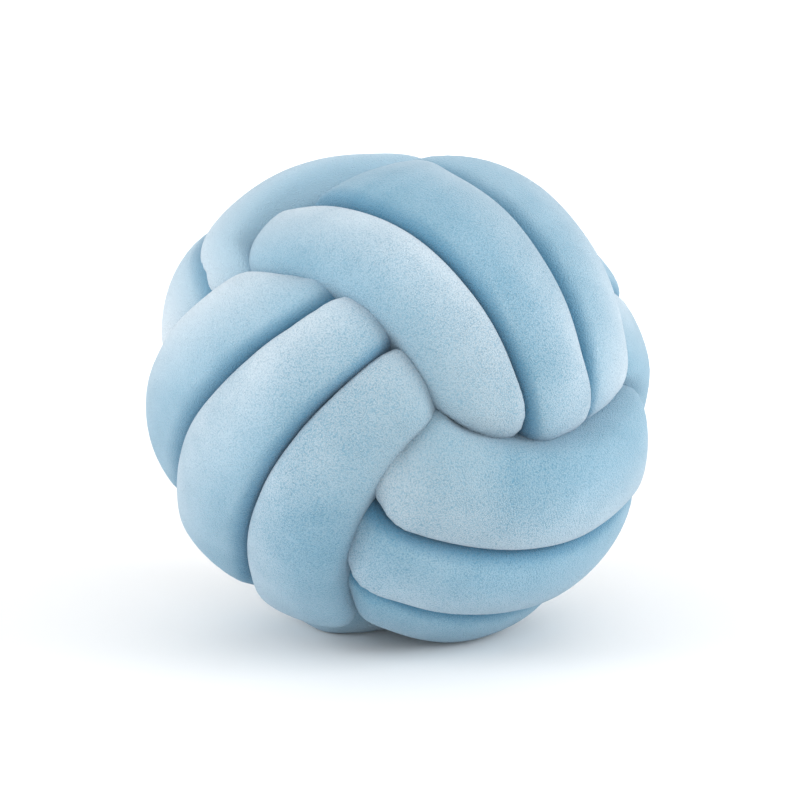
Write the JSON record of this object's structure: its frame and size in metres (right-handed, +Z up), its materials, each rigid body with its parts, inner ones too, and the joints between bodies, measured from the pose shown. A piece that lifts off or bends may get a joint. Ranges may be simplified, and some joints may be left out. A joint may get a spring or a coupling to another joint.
{
  "type": "knot cushion",
  "caption": "Round knot cushion: one long stuffed velour tube wound over and under itself into a tight ball.",
  "frame": {"origin": "on the surface that the cushion rests on, in the middle of its box", "axes": "+Z up; the camera of the picture looks along +Y, with +X to its right"},
  "size_m": [0.266, 0.2606, 0.2512],
  "materials": {
    "velour": "short pile, soft, with a faint sheen at the edges"
  },
  "bodies": {
    "root": {"knot_tube": "velour"}
  },
  "joints": []
}
